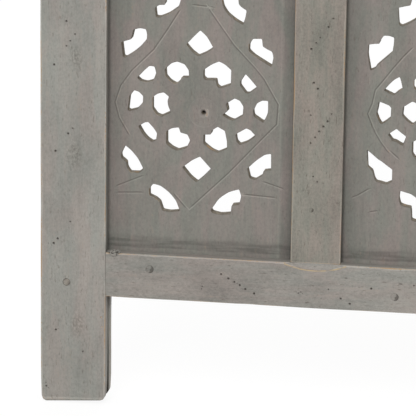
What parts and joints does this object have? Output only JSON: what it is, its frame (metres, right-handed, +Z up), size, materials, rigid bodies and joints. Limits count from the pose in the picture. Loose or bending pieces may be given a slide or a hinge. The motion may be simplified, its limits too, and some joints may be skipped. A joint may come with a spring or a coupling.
{
  "type": "folding screen",
  "caption": "Zigzag folding screen of hinged wooden leaves, each with pierced and carved lattice boards in a frame on short straight feet, under a worn grey wash.",
  "frame": {"origin": "on the floor, under the centre of the middle leaf, which is also the centre of the whole zigzag", "axes": "+X to the screen's right, +Y away from the front of the screen, +Z up"},
  "size_m": [1.147, 0.1722, 1.65],
  "materials": {
    "stile_wood": "worn warm-grey wash, matt",
    "rail_wood": "worn warm-grey wash, matt",
    "muntin_wood": "worn warm-grey wash, matt",
    "board_wood": "worn warm-grey wash, matt",
    "peg_wood": "worn warm-grey wash, matt",
    "hinge_steel": "darkened steel, satin, a little rust",
    "pin_steel": "dull steel, rubbed at the heads",
    "screw_steel": "dull darkened steel"
  },
  "bodies": {
    "left_leaf": {"left_leaf_left_stile": "stile_wood", "left_leaf_right_stile": "stile_wood", "left_leaf_bottom_rail": "rail_wood", "left_leaf_top_rail": "rail_wood", "left_leaf_muntin": "muntin_wood", "left_leaf_left_board": "board_wood", "left_leaf_right_board": "board_wood", "left_leaf_tenon_pegs": "peg_wood", "left_fold_bottom_hinge_left_plate": "hinge_steel", "left_fold_bottom_hinge_pin": "pin_steel", "left_fold_middle_hinge_left_plate": "hinge_steel", "left_fold_middle_hinge_pin": "pin_steel", "left_fold_top_hinge_left_plate": "hinge_steel", "left_fold_top_hinge_pin": "pin_steel", "left_fold_left_screws": "screw_steel"},
    "middle_leaf": {"middle_leaf_left_stile": "stile_wood", "middle_leaf_right_stile": "stile_wood", "middle_leaf_bottom_rail": "rail_wood", "middle_leaf_top_rail": "rail_wood", "middle_leaf_muntin": "muntin_wood", "middle_leaf_left_board": "board_wood", "middle_leaf_right_board": "board_wood", "middle_leaf_tenon_pegs": "peg_wood", "left_fold_bottom_hinge_right_plate": "hinge_steel", "left_fold_middle_hinge_right_plate": "hinge_steel", "left_fold_top_hinge_right_plate": "hinge_steel", "left_fold_right_screws": "screw_steel", "right_fold_bottom_hinge_left_plate": "hinge_steel", "right_fold_bottom_hinge_pin": "pin_steel", "right_fold_middle_hinge_left_plate": "hinge_steel", "right_fold_middle_hinge_pin": "pin_steel", "right_fold_top_hinge_left_plate": "hinge_steel", "right_fold_top_hinge_pin": "pin_steel", "right_fold_left_screws": "screw_steel"},
    "right_leaf": {"right_leaf_left_stile": "stile_wood", "right_leaf_right_stile": "stile_wood", "right_leaf_bottom_rail": "rail_wood", "right_leaf_top_rail": "rail_wood", "right_leaf_muntin": "muntin_wood", "right_leaf_left_board": "board_wood", "right_leaf_right_board": "board_wood", "right_leaf_tenon_pegs": "peg_wood", "right_fold_bottom_hinge_right_plate": "hinge_steel", "right_fold_middle_hinge_right_plate": "hinge_steel", "right_fold_top_hinge_right_plate": "hinge_steel", "right_fold_right_screws": "screw_steel"}
  },
  "joints": [
    {"name": "left_fold", "type": "hinge", "parent": "middle_leaf", "child": "left_leaf", "pos_m": [-0.19189, -0.06027, 0.825], "axis": [0, 0, 1], "range_deg": [-136, 44]},
    {"name": "right_fold", "type": "hinge", "parent": "middle_leaf", "child": "right_leaf", "pos_m": [0.19189, 0.06027, 0.825], "axis": [0, 0, 1], "range_deg": [-136, 44]}
  ]
}
